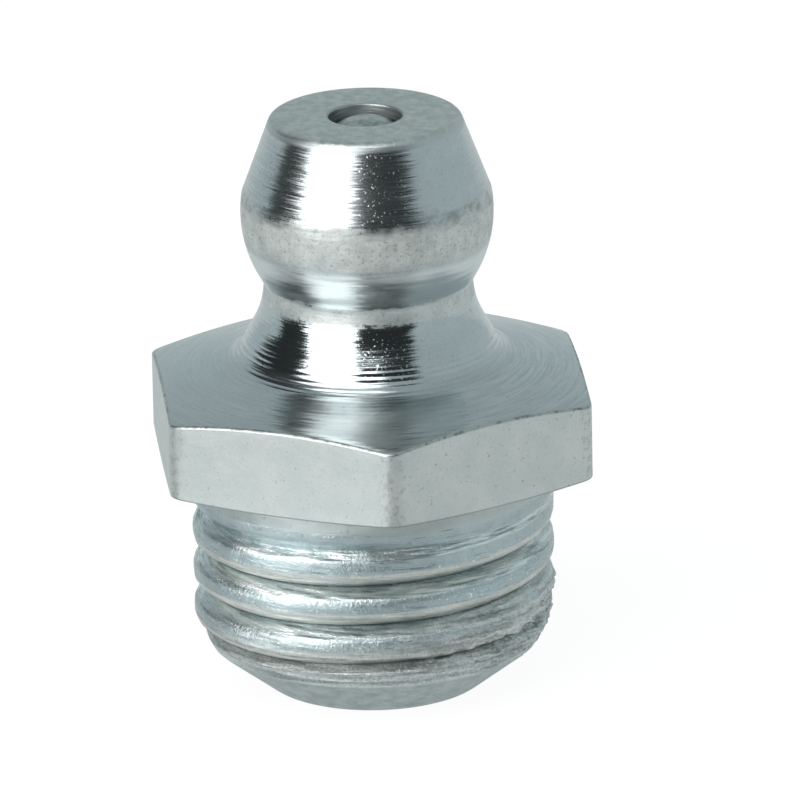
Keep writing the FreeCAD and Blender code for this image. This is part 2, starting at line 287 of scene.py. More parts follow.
def hexagon_radius(angles):
    """Distance from the axis to the hexagon's side, with its upright corners rounded."""
    off_flat = (angles - HEX_HALF_ANGLE) % (2 * HEX_HALF_ANGLE)
    off_flat = np.where(off_flat > HEX_HALF_ANGLE, off_flat - 2 * HEX_HALF_ANGLE, off_flat)
    flat = FLAT_RADIUS / np.cos(off_flat)
    centre = (FLAT_RADIUS - CORNER_ROUND) / math.cos(HEX_HALF_ANGLE)
    lean = HEX_HALF_ANGLE - np.abs(off_flat)
    rounded = centre * np.cos(lean) + np.sqrt(np.maximum(CORNER_ROUND ** 2 - (centre * np.sin(lean)) ** 2, 0))
    touch = math.atan((FLAT_RADIUS - CORNER_ROUND) * math.tan(HEX_HALF_ANGLE) / FLAT_RADIUS)
    return np.where(np.abs(off_flat) > touch, rounded, flat)


def shoulder_height(radius):
    """Height of the shoulder's cone at a distance from the axis."""
    return HEX_TOP + (CORNER_RADIUS - radius) * SHOULDER_SLOPE


def under_height(radius):
    """Height of the hexagon's underside at a distance from the axis."""
    return SHANK_LENGTH + np.maximum(radius - FLAT_RADIUS, 0) * UNDER_SLOPE


def inside_profile():
    """From the end face up the bore and out to the inlet's rim, as (radius, height)."""
    bevel_start = (OUTLET_RADIUS, LIP_HEIGHT * 0.9)
    bevel_end = (OUTLET_RADIUS + LIP_BEVEL, LIP_HEIGHT)
    chamber_low = (CHAMBER_RADIUS, LIP_HEIGHT)
    chamber_top = (CHAMBER_RADIUS, SEAT_LOW)
    seat_top = (INLET_RADIUS, SEAT_TOP)
    inlet_top = (INLET_RADIUS, TOTAL_HEIGHT)
    outlet_low = (OUTLET_RADIUS, 0)
    points = corner((END_FACE_RADIUS, 0), outlet_low, (OUTLET_RADIUS, LIP_HEIGHT), OUTLET_ROUND, steps=4)
    points += line(bevel_start, bevel_end, steps=2)
    points += line(bevel_end, chamber_low, steps=2)
    points += line(chamber_low, chamber_top, steps=4)
    points += line(chamber_top, seat_top, steps=4)
    points += line(seat_top, (INLET_RADIUS, TOTAL_HEIGHT - RIM_DEPTH), steps=3)
    return points + corner(seat_top, inlet_top, (FACE_RADIUS, TOTAL_HEIGHT), INLET_ROUND, steps=4)


def head_profile():
    """From the inlet's rim over the flat top and down to the shoulder's cone, as (radius, height)."""
    top = (FACE_RADIUS, TOTAL_HEIGHT)
    taper_end = (TAPER_RADIUS, HEAD_CENTRE + TAPER_START)
    rim = (INLET_RADIUS + RIM_WIDTH, TOTAL_HEIGHT)
    points = line(rim, (FACE_RADIUS - FACE_MARGIN, TOTAL_HEIGHT), steps=4)
    points += corner((0, TOTAL_HEIGHT), top, taper_end, FACE_ROUND, steps=6)
    down_taper = (Vector(taper_end) - Vector(top)).normalized()
    points += line(tuple(Vector(top) + down_taper * FACE_MARGIN), taper_end, steps=8)
    taper_angle = math.degrees(math.asin(TAPER_START / HEAD_RADIUS))
    crease_angle = -math.degrees(math.acos(NECK_RADIUS / HEAD_RADIUS))
    points += arc((0, HEAD_CENTRE), HEAD_RADIUS, taper_angle, crease_angle + CREASE_MARGIN, steps=16)
    neck_centre = (NECK_RADIUS + NECK_CURVE, CREASE_HEIGHT)
    points += arc(neck_centre, NECK_CURVE, 180 + CREASE_MARGIN, 180 + math.degrees(FLARE), steps=9)
    bend = (BEND_RADIUS, BEND_HEIGHT)
    foot = (FOOT_RADIUS, shoulder_height(FOOT_RADIUS))
    down_shoulder = (FOOT_RADIUS + 1 * MM, shoulder_height(FOOT_RADIUS + 1 * MM))
    turning = math.pi / 2 - FLARE - math.atan(SHOULDER_SLOPE)
    reach = SHOULDER_ROUND * math.tan(turning / 2)
    near_foot = Vector(foot) + (Vector(bend) - Vector(foot)).normalized() * reach
    points += line(bend, tuple(near_foot), steps=6)
    points += corner(bend, foot, down_shoulder, reach, steps=8)
    return points


def hexagon_rows(angles):
    """Rows from the shoulder over the hexagon's side to the shank: radius, height and zone."""
    side = hexagon_radius(angles)
    worn_side = side - EDGE_WEAR
    inner = FOOT_RADIUS + FOOT_MARGIN
    rows = []
    for share in np.linspace(0, 1, 9):
        radius = inner + (worn_side - inner) * share
        rows.append((radius, shoulder_height(radius), "turned"))
    top = shoulder_height(side)
    for share in ROUNDING_SHARES:
        height = curved(shoulder_height(worn_side), top, top - EDGE_WEAR, share)
        rows.append((side - EDGE_WEAR * (1 - share) ** 2, height, "hexagon"))
    bottom = under_height(side)
    for share in np.linspace(0, 1, 7):
        rows.append((side, (top - EDGE_WEAR) * (1 - share) + (bottom + EDGE_WEAR) * share, "hexagon"))
    for share in ROUNDING_SHARES:
        height = curved(bottom + EDGE_WEAR, bottom, under_height(worn_side), share)
        rows.append((side - EDGE_WEAR * share ** 2, height, "hexagon"))
    for share in np.linspace(0, 1, 4):
        radius = worn_side * (1 - share) + (CREST_RADIUS + UNDER_MARGIN) * share
        rows.append((radius, under_height(radius), "hexagon"))
    return rows


def shank_limit(height):
    """The turned shank without its thread: end cone, chamfer and crest cylinder."""
    points = [0, END_CONE_HEIGHT, CHAMFER_HEIGHT, SHANK_LENGTH]
    return np.interp(height, points, [END_FACE_RADIUS, END_CONE_RADIUS, CREST_RADIUS, CREST_RADIUS])


def thread_radius(angles, heights):
    """The rolled thread: a helical groove with rounded crests that fades out under the hexagon."""
    turn = (heights - GROOVE_START) / PITCH - angles / (2 * math.pi)
    off = (turn - np.round(turn)) * PITCH
    groove_height = heights - off
    distance = np.abs(off)
    flank = CREST_RADIUS - THREAD_DEPTH + distance / GROOVE_SLOPE
    edge = THREAD_DEPTH * GROOVE_SLOPE
    touch = CREST_ROUND * math.tan(FLANK_ANGLE)
    rounded_from = edge - touch * math.sin(FLANK_ANGLE)
    rise = np.clip(edge + touch - distance, 0, None)
    rounded = CREST_RADIUS - CREST_ROUND + np.sqrt(np.maximum(CREST_ROUND ** 2 - rise ** 2, 0))
    cut = np.where(distance < rounded_from, flank, np.where(distance < edge + touch, rounded, CREST_RADIUS))
    fade = 1 - smooth_step(groove_height, GROOVE_TOP - FADE_HEIGHT, GROOVE_TOP)
    return CREST_RADIUS - (CREST_RADIUS - cut) * fade


def shank_rows(angles):
    """Rows that follow the thread's helix, held between the end cone's foot and the hexagon's underside.

    A row ends one turn higher than it starts, so across the seam it meets the row SHANK_SHIFT before it.
    """
    rows = []
    turns = int(SHANK_LENGTH / PITCH) + 1
    for turn in range(turns, -2, -1):
        for offset in SHANK_OFFSETS[::-1]:
            raw = GROOVE_START + PITCH * (turn + angles / (2 * math.pi)) + offset
            height = np.clip(raw, HELIX_LOW, SHANK_LENGTH)
            rows.append((np.minimum(shank_limit(height), thread_radius(angles, height)), height))
    return rows


def lump_layers(places, layers):
    """The sum of layers of lumps, each with its size, depth and seed."""
    return sum(lumps(places, size, seed) * depth for size, depth, seed in layers)


def rough_shank(places, radius, angles, heights):
    """Wear and tearing of the thread: fine lumps everywhere, torn and smeared metal round the last turn."""
    on_thread = smooth_step(heights, *WEAR_START) * (1 - smooth_step(heights, *WEAR_END))
    torn_side = smooth_step(np.cos(angles - TORN_SIDE), 0.05, 0.85)
    torn = on_thread * torn_side * (1 - smooth_step(heights, *TORN_END))
    smeared = SMEARED_SHARE * (shank_limit(heights) - radius)
    ragged = lump_layers(places, TORN_LUMPS)
    return on_thread * lump_layers(places, FINE_LUMPS) + torn * (ragged + smeared - TORN_DEPTH)


def nipple_rows(angles):
    """Every row of the one-piece body, up its bore and down its outside: radius, height and zone."""
    ones = np.ones(ANGLE_STEPS)
    rows = [(ones * r, ones * z, "bore") for r, z in inside_profile()]
    rows += [(ones * r, ones * z, "turned") for r, z in head_profile()]
    rows += hexagon_rows(angles)
    rows += [(r, z, "shank") for r, z in shank_rows(angles)]
    end_edge = corner((END_CONE_RADIUS, END_CONE_HEIGHT), (END_FACE_RADIUS, 0), (0, 0), END_ROUND, steps=4)
    cone = line((shank_limit(CONE_TOP), CONE_TOP), end_edge[0], steps=3)
    face = line((END_FACE_ROWS[0], 0), (END_FACE_ROWS[1], 0), steps=3)
    rows += [(ones * r, ones * z, "end") for r, z in cone + end_edge + face]
    return rows


def row_vertices(angles, rows):
    """Vertex places of every row, one row after another; the shank's are roughened."""
    places = []
    for radius, height, zone in rows:
        place = np.stack([radius * np.cos(angles), radius * np.sin(angles), height], axis=1)
        if zone == "shank":
            radius = radius + rough_shank(place, radius, angles, height)
            place = np.stack([radius * np.cos(angles), radius * np.sin(angles), height], axis=1)
        places.append(place)
    return np.concatenate(places)


def row_faces(zones):
    """Four-cornered faces between following rows, with the zone of each; the last row meets the first."""
    count = len(zones)
    columns = np.arange(ANGLE_STEPS)
    after = (columns + 1) % ANGLE_STEPS
    shank_start = zones.index("shank")
    faces = []
    kinds = []
    for row in range(count):
        below = (row + 1) % count
        # Across the seam a shank row meets the row one turn up.
        seam_row, seam_below = row, below
        if zones[row] == "shank":
            seam_row = max(row - SHANK_SHIFT, shank_start)
        if zones[below] == "shank":
            seam_below = max(below - SHANK_SHIFT, shank_start)
        right_row = np.where(after == 0, seam_row, row)
        right_below = np.where(after == 0, seam_below, below)
        faces.append(np.stack([row * ANGLE_STEPS + columns, below * ANGLE_STEPS + columns,
                               right_below * ANGLE_STEPS + after, right_row * ANGLE_STEPS + after], axis=1))
        kinds += [zones[below]] * ANGLE_STEPS
    return np.concatenate(faces), kinds


def welded(places, faces, kinds):
    """The same mesh with coinciding vertices made one and the faces that vanish left out."""
    keys = np.round(places / WELD_DISTANCE).astype(np.int64)
    _, first, joined = np.unique(keys, axis=0, return_index=True, return_inverse=True)
    joined = joined.reshape(-1)
    kept_faces = []
    kept_kinds = []
    for face, kind in zip(joined[faces].tolist(), kinds):
        loop = [v for i, v in enumerate(face) if v != face[i - 1]]
        if len(loop) >= 3 and len(set(loop)) == len(loop):
            kept_faces.append(loop)
            kept_kinds.append(kind)
    return places[first], kept_faces, kept_kinds


def linked(name, data):
    """A new object with its data, linked into the scene."""
    made = bpy.data.objects.new(name, data)
    bpy.context.scene.collection.objects.link(made)
    return made


def mesh_object(name, places, faces):
    """A smooth-shaded mesh object with its sharp edges kept crisp."""
    mesh = bpy.data.meshes.new(name)
    mesh.from_pydata([tuple(p) for p in places], [], faces)
    mesh.validate()
    mesh.shade_smooth()
    mesh.set_sharp_from_angle(angle=SHARP_ANGLE)
    return linked(name, mesh)


def nipple_piece():
    """The body of the nipple, one closed mesh, with a finish for each zone."""
    angles = np.linspace(0, 2 * math.pi, ANGLE_STEPS, endpoint=False)
    rows = nipple_rows(angles)
    faces, kinds = row_faces([zone for _, _, zone in rows])
    places, faces, kinds = welded(row_vertices(angles, rows), faces, kinds)
    piece = mesh_object("nipple_body_detailed", places, faces)
    finishes = {
        "turned": turned_steel(),
        "hexagon": hexagon_steel(),
        "shank": thread_steel(),
        "bore": bore_steel(),
    }
    finishes["end"] = finishes["shank"]
    slots = list(dict.fromkeys(finishes.values()))
    for finish in slots:
        piece.data.materials.append(finish)
    piece.data.polygons.foreach_set("material_index", [slots.index(finishes[kind]) for kind in kinds])
    return piece


def ball_piece():
    """The check ball, a fine sphere that sits where its CAD node does."""
    mesh = bpy.data.meshes.new("check_ball_detailed")
    sphere = bmesh.new()
    place = Matrix.Translation((0, 0, BALL_CENTRE))
    bmesh.ops.create_icosphere(sphere, subdivisions=BALL_FINENESS, radius=BALL_RADIUS, matrix=place)
    sphere.to_mesh(mesh)
    sphere.free()
    mesh.shade_smooth()
    mesh.materials.append(ball_steel())
    return linked("check_ball_detailed", mesh)


def spring_centre(turn):
    """Places along the middle of the spring's wire, by turns from its lower end."""
    closed_rise = 2 * WIRE_RADIUS + TURN_GAP
    working_rise = (SPRING_TOP - SPRING_LOW - 2 * closed_rise) / (SPRING_TURNS - 2)
    # The rise per turn eases from the closed turns to the working ones over half a turn.
    ease_start, ease_end = 0.75, 1.25
    share = smooth_step(turn, ease_start, ease_end)
    share = share * (1 - smooth_step(turn, SPRING_TURNS - ease_end, SPRING_TURNS - ease_start))
    rise = closed_rise + (working_rise - closed_rise) * share
    height = np.concatenate([[0], np.cumsum((rise[1:] + rise[:-1]) / 2 * np.diff(turn))])
    height = SPRING_LOW + height * (SPRING_TOP - SPRING_LOW) / height[-1]
    angle = turn * 2 * math.pi
    return np.stack([COIL_RADIUS * np.cos(angle), COIL_RADIUS * np.sin(angle), height], axis=1)


def spring_piece():
    """The return spring: round wire with a closed turn at each end and cut ends."""
    count = SPRING_TURNS * TURN_STEPS + 1
    centre = spring_centre(np.linspace(0, SPRING_TURNS, count))
    outward = centre * [1, 1, 0] / COIL_RADIUS
    ring = np.arange(RING_STEPS) * 2 * math.pi / RING_STEPS
    across = np.cos(ring)[None, :, None] * outward[:, None, :]
    upward = np.sin(ring)[None, :, None] * np.array([0, 0, 1.0])
    places = (centre[:, None, :] + WIRE_RADIUS * (across + upward)).reshape(-1, 3)
    faces = []
    for step in range(count - 1):
        near, far = step * RING_STEPS, (step + 1) * RING_STEPS
        for side in range(RING_STEPS):
            following = (side + 1) % RING_STEPS
            faces.append([near + side, near + following, far + following, far + side])
    faces.append(list(range(RING_STEPS))[::-1])
    faces.append([(count - 1) * RING_STEPS + side for side in range(RING_STEPS)])
    piece = mesh_object("return_spring_detailed", places, faces)
    piece.data.materials.append(spring_steel())
    return piece


class Nodes:
    """Short calls that add and link the nodes of one node tree."""

    def __init__(self, tree):
        self.tree = tree
        tree.nodes.clear()

    def add(self, kind, inputs=None, **settings):
        """A node with its settings, and with its inputs set to values or linked to sockets."""
        node = self.tree.nodes.new(kind)
        for name, value in settings.items():
            setattr(node, name, value)
        for name, value in (inputs or {}).items():
            if isinstance(value, bpy.types.NodeSocket):
                self.tree.links.new(value, node.inputs[name])
            else:
                node.inputs[name].default_value = value
        return node

    def math(self, operation, first, second=0.0):
        """The result of a math node."""
        return self.add("ShaderNodeMath", {0: first, 1: second}, operation=operation).outputs[0]

    def chained(self, operation, first, *others):
        """The result of a math operation with each further number in turn."""
        for other in others:
            first = self.math(operation, first, other)
        return first

    def plus(self, *numbers):
        """The sum of numbers."""
        return self.chained("ADD", *numbers)

    def less(self, first, second):
        """The first number less the second."""
        return self.math("SUBTRACT", first, second)

    def times(self, *numbers):
        """The product of numbers."""
        return self.chained("MULTIPLY", *numbers)

    def most(self, *numbers):
        """The largest of numbers."""
        return self.chained("MAXIMUM", *numbers)

    def step(self, value, low, high):
        """0 at low, 1 at high, smooth between them and level beyond; low may be the larger."""
        inputs = {"Value": value, "From Min": low, "From Max": high}
        return self.add("ShaderNodeMapRange", inputs, interpolation_type="SMOOTHSTEP").outputs[0]

    def between(self, value, low, high, soft):
        """1 inside a range, falling to 0 over a soft edge at each end."""
        return self.times(self.step(value, low - soft, low + soft),
                          self.less(1.0, self.step(value, high - soft, high + soft)))

    def noise(self, vector, scale, detail=2.0, rough=0.5):
        """Noise from about 0.25 to 0.75."""
        inputs = {"Vector": vector, "Scale": scale, "Detail": detail, "Roughness": rough}
        return self.add("ShaderNodeTexNoise", inputs).outputs["Fac"]

    def mix(self, share, first, second):
        """A number between two, by a share."""
        inputs = {"Factor": share, "A": first, "B": second}
        return self.add("ShaderNodeMix", inputs, data_type="FLOAT").outputs[0]

    def mix_colour(self, share, first, second):
        """A colour between two, by a share."""
        ends = [end if isinstance(end, bpy.types.NodeSocket) else (*end, 1.0) for end in (first, second)]
        # Inputs 6 and 7 and output 2 of this node are the ones for colours.
        return self.add("ShaderNodeMix", {0: share, 6: ends[0], 7: ends[1]}, data_type="RGBA").outputs[2]

    def bump(self, height, distance, strength, normal=None):
        """A surface normal tilted by a height in metres times distance."""
        inputs = {"Height": height, "Distance": distance, "Strength": strength}
        if normal is not None:
            inputs["Normal"] = normal
        return self.add("ShaderNodeBump", inputs).outputs["Normal"]

    def split(self, vector):
        """The three parts of a vector."""
        return self.add("ShaderNodeSeparateXYZ", {0: vector}).outputs

    def joined(self, x, y, z):
        """A vector of three parts."""
        return self.add("ShaderNodeCombineXYZ", {"X": x, "Y": y, "Z": z}).outputs[0]


def in_millimetres(nodes):
    """Object coordinates in millimetres."""
    place = nodes.add("ShaderNodeTexCoord").outputs["Object"]
    return nodes.add("ShaderNodeVectorMath", {0: place, "Scale": 1 / MM}, operation="SCALE").outputs[0]


def object_place(nodes):
    """Object coordinates in millimetres, and from them the distance from the axis and the height."""
    scaled = in_millimetres(nodes)
    x, y, z = nodes.split(scaled)
    radius = nodes.math("SQRT", nodes.plus(nodes.times(x, x), nodes.times(y, y)))
    return scaled, radius, z


def toward(nodes, scaled, radius, bearing):
    """Cosine of the angle round the axis from a bearing: 1 on the side that it points to."""
    x, y, _ = nodes.split(scaled)
    along = nodes.plus(nodes.times(x, math.cos(bearing)), nodes.times(y, math.sin(bearing)))
    return nodes.math("DIVIDE", along, radius)


def drawn_out(nodes, scaled, along, around, detail, rough):
    """Noise that changes with a number along the surface, and more slowly round the axis."""
    x, y, _ = nodes.split(scaled)
    place = nodes.joined(nodes.times(x, around), nodes.times(y, around), along)
    return nodes.noise(place, 1.0, detail, rough)


def turned_marks(nodes, scaled, radius, across, around, detail=2.0, rough=0.6):
    """Noise drawn out into rings round the axis, as a lathe leaves them, and fine along the profile."""
    along = nodes.times(nodes.less(nodes.split(scaled)[2], radius), across)
    return drawn_out(nodes, scaled, along, around, detail, rough)


def rolled_marks(nodes, scaled, across, around):
    """Noise drawn out round the axis, as thread rolls leave it: fine up the shank, long round it."""
    return drawn_out(nodes, scaled, nodes.times(nodes.split(scaled)[2], across), around, 3.0, 0.65)


def tilted(nodes, scaled, radius, sideways, upward):
    """The surface normal leant round the axis and upwards by two amounts, each 0 for no lean."""
    normal = nodes.add("ShaderNodeNewGeometry").outputs["Normal"]
    x, y, _ = nodes.split(scaled)
    share = nodes.math("DIVIDE", sideways, radius)
    lean = nodes.joined(nodes.times(y, -1.0, share), nodes.times(x, share), upward)
    total = nodes.add("ShaderNodeVectorMath", {0: normal, 1: lean}, operation="ADD").outputs[0]
    return nodes.add("ShaderNodeVectorMath", {0: total}, operation="NORMALIZE").outputs[0]


def centred(nodes, noise, amount):
    """A noise moved to swing either side of 0, by an amount."""
    return nodes.times(nodes.less(noise, 0.5), amount)


def metal(name, build):
    """A metal material; build gives its colour, roughness and normal."""
    material = bpy.data.materials.new(name)
    material.use_nodes = True
    nodes = Nodes(material.node_tree)
    colour, roughness, normal = build(nodes)
    inputs = {"Base Color": colour, "Metallic": 1.0, "Roughness": roughness, "Normal": normal}
    shader = nodes.add("ShaderNodeBsdfPrincipled", inputs)
    nodes.add("ShaderNodeOutputMaterial", {"Surface": shader.outputs[0]})
    return material


def turned_zones(nodes, scaled, radius, height):
    """Shares of the turned part's zones, by heights in millimetres above the end face."""
    ragged = nodes.plus(centred(nodes, nodes.noise(scaled, 5.0, 4.0, 0.7), 0.5),
                        centred(nodes, turned_marks(nodes, scaled, radius, 6.0, 0.9), 0.5))
    edge = nodes.plus(height, ragged)
    band = nodes.times(nodes.step(edge, 11.85, 12.25), nodes.less(1.0, nodes.step(edge, 12.95, 13.3)))
    neck = nodes.between(edge, 10.45, 10.84, 0.06)
    return {
        "matte": nodes.most(band, nodes.times(neck, 0.7)),
        "junction": nodes.between(edge, 13.0, 13.35, 0.16),
        # The band above the neck's crease, where the head faces down, gets a painted reflection of the floor.
        "painted_reflection": nodes.between(height, 10.86, 11.9, 0.1),
        "face": nodes.step(height, 15.12, 15.2),
        "rim": nodes.between(height, 15.0, 15.2, 0.05),
        "head": nodes.step(height, 10.6, 12.0),
        "flare": nodes.between(height, 9.1, 10.4, 0.1),
        "foot": nodes.between(height, 8.75, 9.35, 0.15),
        "shoulder": nodes.less(1.0, nodes.step(height, 8.85, 9.15)),
    }


def turned_colour(nodes, scaled, zones, fine, mottled):
    """Blotchy zinc, paler where it is matte, with dirt in specks, in pits and above the matte band."""
    blotches = nodes.noise(scaled, 2.2, 4.0, 0.65)
    specks = nodes.step(nodes.noise(scaled, 13.0, 4.0, 0.75), 0.54, 0.66)
    pits = nodes.step(nodes.noise(scaled, 6.0, 5.0, 0.7), 0.64, 0.70)
    colour = nodes.mix_colour(blotches, *TURNED_ZINC)
    feed_marks = nodes.times(zones["shoulder"], nodes.step(fine, 0.62, 0.36))
    colour = nodes.mix_colour(feed_marks, colour, FEED_MARKS)
    matte_colour = nodes.mix_colour(nodes.step(blotches, 0.3, 0.7), *MATTE_ZINC)
    colour = nodes.mix_colour(zones["matte"], colour, matte_colour)
    colour = nodes.mix_colour(zones["face"], colour, nodes.mix_colour(mottled, *FACE_ZINC))
    darkening = nodes.most(nodes.times(specks, nodes.mix(zones["matte"], 0.16, 0.52)),
                      nodes.times(pits, 0.45),
                      nodes.times(zones["junction"], 0.55, nodes.step(blotches, 0.38, 0.62)))
    colour = nodes.mix_colour(darkening, colour, TURNED_DIRT)
    # A pale painted reflection of the floor on the band above the crease.
    return nodes.mix_colour(zones["painted_reflection"], colour, PAINTED_HEAD_REFLECTION)


def turned_lean(nodes, scaled, radius, height, zones, marks):
    """Lean of the turned surface, round the axis and upwards: lathe marks, feed lines and small dents."""
    fine, other, coarse = marks
    head, shoulder, foot = zones["head"], zones["shoulder"], zones["foot"]
    along = nodes.times(nodes.less(height, radius), 2 * math.pi / FEED_PERIOD)
    feed_lines = nodes.math("SINE", nodes.plus(along, centred(nodes, coarse, 3.0)))
    # The feed lines of the shoulder show most on the photograph's left.
    leftward = nodes.step(toward(nodes, scaled, radius, CAMERA_AZIMUTH + math.pi), -0.2, 0.8)
    patchy_shoulder = nodes.times(shoulder, nodes.step(coarse, 0.45, 0.62))
    feed = nodes.times(feed_lines, patchy_shoulder, nodes.mix(leftward, 0.25, 1.0))
    dents = nodes.step(nodes.noise(scaled, 17.0, 3.0), 0.60, 0.76)
    plain = nodes.less(1.0, nodes.most(zones["matte"], nodes.most(shoulder, zones["painted_reflection"])))
    sideways = nodes.plus(centred(nodes, fine, nodes.mix(head, 0.26, 0.34)),
                          centred(nodes, other, nodes.mix(head, 0.12, 0.11)))
    upward = nodes.plus(centred(nodes, other, nodes.mix(head, 0.24, 0.34)),
                        centred(nodes, coarse, nodes.mix(shoulder, 0.10, 0.30)),
                        centred(nodes, fine, nodes.times(shoulder, 0.30)),
                        nodes.times(feed, 0.11),
                        centred(nodes, fine, nodes.times(foot, 0.5)),
                        nodes.times(feed_lines, foot, 0.20),
                        nodes.times(dents, plain, 0.40))
    return sideways, upward


def turned_steel():
    """Head, neck and shoulder: bright turned zinc with a matte speckled band round the ball part."""
    def build(nodes):
        scaled, radius, height = object_place(nodes)
        zones = turned_zones(nodes, scaled, radius, height)
        fine = turned_marks(nodes, scaled, radius, 24.0, 0.8, 3.0, 0.7)
        other = turned_marks(nodes, scaled, radius, 14.0, 0.45, 2.0, 0.6)
        coarse = turned_marks(nodes, scaled, radius, 3.6, 0.25, 2.0, 0.5)
        grain = nodes.noise(scaled, 30.0, 2.0)
        mottled = nodes.step(nodes.noise(scaled, 3.4, 4.0, 0.7), 0.36, 0.64)
        colour = turned_colour(nodes, scaled, zones, fine, mottled)
        roughness = nodes.mix(fine, 0.08, nodes.mix(zones["flare"], 0.36, 0.14))
        roughness = nodes.mix(zones["painted_reflection"], roughness, 0.28)
        roughness = nodes.mix(zones["matte"], roughness, nodes.mix(grain, 0.40, 0.62))
        roughness = nodes.mix(nodes.most(zones["face"], zones["rim"]), roughness, 0.40)
        roughness = nodes.mix(zones["shoulder"], roughness, nodes.mix(other, 0.06, 0.30))
        sideways, upward = turned_lean(nodes, scaled, radius, height, zones, (fine, other, coarse))
        normal = tilted(nodes, scaled, radius, sideways, upward)
        normal = nodes.bump(grain, 6 * MICRON, nodes.mix(zones["matte"], 0.2, 0.9), normal)
        normal = nodes.bump(mottled, 20 * MICRON, nodes.times(zones["face"], 0.6), normal)
        return colour, roughness, normal
    return metal("turned_zinc", build)


def hexagon_wear_and_shade(nodes, scaled, radius):
    """Wear of the hexagon, light on its upright corners and blotchy on its upper edge, and painted shade on
    its underside.
    """
    blotches = nodes.step(nodes.noise(scaled, 4.5, 4.0, 0.7), 0.46, 0.62)
    corners = nodes.step(radius, 6.03, 6.16)
    facing = nodes.split(nodes.add("ShaderNodeNewGeometry").outputs["Normal"])[2]
    upper = nodes.step(facing, 0.2, 0.45)
    # The downward-facing underside is darkened evenly as painted shade.
    under = nodes.step(nodes.times(facing, -1.0), 0.15, 0.4)
    return nodes.most(nodes.times(corners, nodes.mix(blotches, 0.04, 0.28)),
                      nodes.times(upper, nodes.mix(blotches, 0.35, 0.85)),
                      nodes.times(under, 0.55))


def hexagon_steel():
    """Flats of the hexagon: drawn bar under satin zinc, slightly warm, with specks, worn corners and painted
    shade underneath.
    """
    def build(nodes):
        scaled, radius, _ = object_place(nodes)
        patches = nodes.noise(scaled, 1.1, 5.0, 0.65)
        grain = nodes.noise(scaled, 18.0, 3.0)
        specks = nodes.step(nodes.noise(scaled, 9.0, 4.0, 0.7), 0.61, 0.70)
        colour = nodes.mix_colour(nodes.step(patches, 0.3, 0.7), *SATIN_ZINC)
        colour = nodes.mix_colour(nodes.times(nodes.step(grain, 0.52, 0.72), 0.25), colour, SATIN_GRAIN)
        colour = nodes.mix_colour(nodes.times(specks, 0.5), colour, SATIN_SPECKS)
        colour = nodes.mix_colour(hexagon_wear_and_shade(nodes, scaled, radius), colour, WORN_EDGE_AND_SHADE)
        normal = nodes.bump(grain, 5 * MICRON, 0.6)
        normal = nodes.bump(nodes.noise(scaled, 5.0, 3.0), 14 * MICRON, 0.6, normal)
        return colour, nodes.mix(grain, 0.30, 0.46), normal
    return metal("satin_zinc", build)


def off_groove(nodes, scaled, height):
    """Height above or below the nearest turn of the groove's root, in millimetres."""
    x, y, _ = nodes.split(scaled)
    around = nodes.math("DIVIDE", nodes.math("ARCTAN2", y, x), 2 * math.pi)
    risen = nodes.math("DIVIDE", nodes.less(height, GROOVE_START / MM), PITCH / MM)
    turn = nodes.less(risen, around)
    return nodes.times(nodes.less(turn, nodes.math("ROUND", turn)), PITCH / MM)


def torn_share(nodes, scaled, radius, height):
    """1 on the torn metal round the last turn, which reaches highest on TORN_SIDE."""
    torn_side = nodes.step(toward(nodes, scaled, radius, TORN_SIDE), 0.0, 0.95)
    torn_edge = nodes.plus(height, centred(nodes, nodes.noise(scaled, 2.5, 4.0, 0.7), 1.2))
    torn_edge = nodes.less(torn_edge, nodes.times(torn_side, 0.9))
    return nodes.times(nodes.step(height, 1.14, 1.24), nodes.less(1.0, nodes.step(torn_edge, 1.7, 2.6)))


def thread_zones(nodes, scaled, radius, height, other):
    """Shares of the shank's zones, by height or by height off the groove's root, in millimetres."""
    off = off_groove(nodes, scaled, height)
    thread = nodes.between(height, 1.5, 5.55, 0.1)
    groove_left = nodes.less(1.0, nodes.step(nodes.less(height, off), 4.3, 4.7))
    cut = nodes.times(thread, groove_left)
    wavy = nodes.plus(off, centred(nodes, other, 0.10))
    patchy_reflection = nodes.step(nodes.noise(scaled, 3.0, 4.0, 0.7), 0.40, 0.60)
    collar = nodes.step(height, 5.35, 5.6)
    cone = nodes.less(1.0, nodes.step(height, 1.12, 1.2))
    return {
        "thread": thread,
        "cut": cut,
        # On the groove's downward-facing upper flank the pale strip is a painted reflection of the floor,
        # patchy in strength.
        "pale": nodes.times(cut, nodes.between(wavy, 0.02, 0.43, 0.05), nodes.mix(patchy_reflection, 0.75, 1.0)),
        # Painted shade along the groove's root.
        "root": nodes.times(cut, nodes.between(off, -0.02, 0.03, 0.02)),
        "flank": nodes.times(thread, nodes.between(off, -0.28, -0.04, 0.04)),
        "collar": collar,
        "cone": cone,
        "smooth": nodes.most(collar, cone),
        "torn": torn_share(nodes, scaled, radius, height),
    }


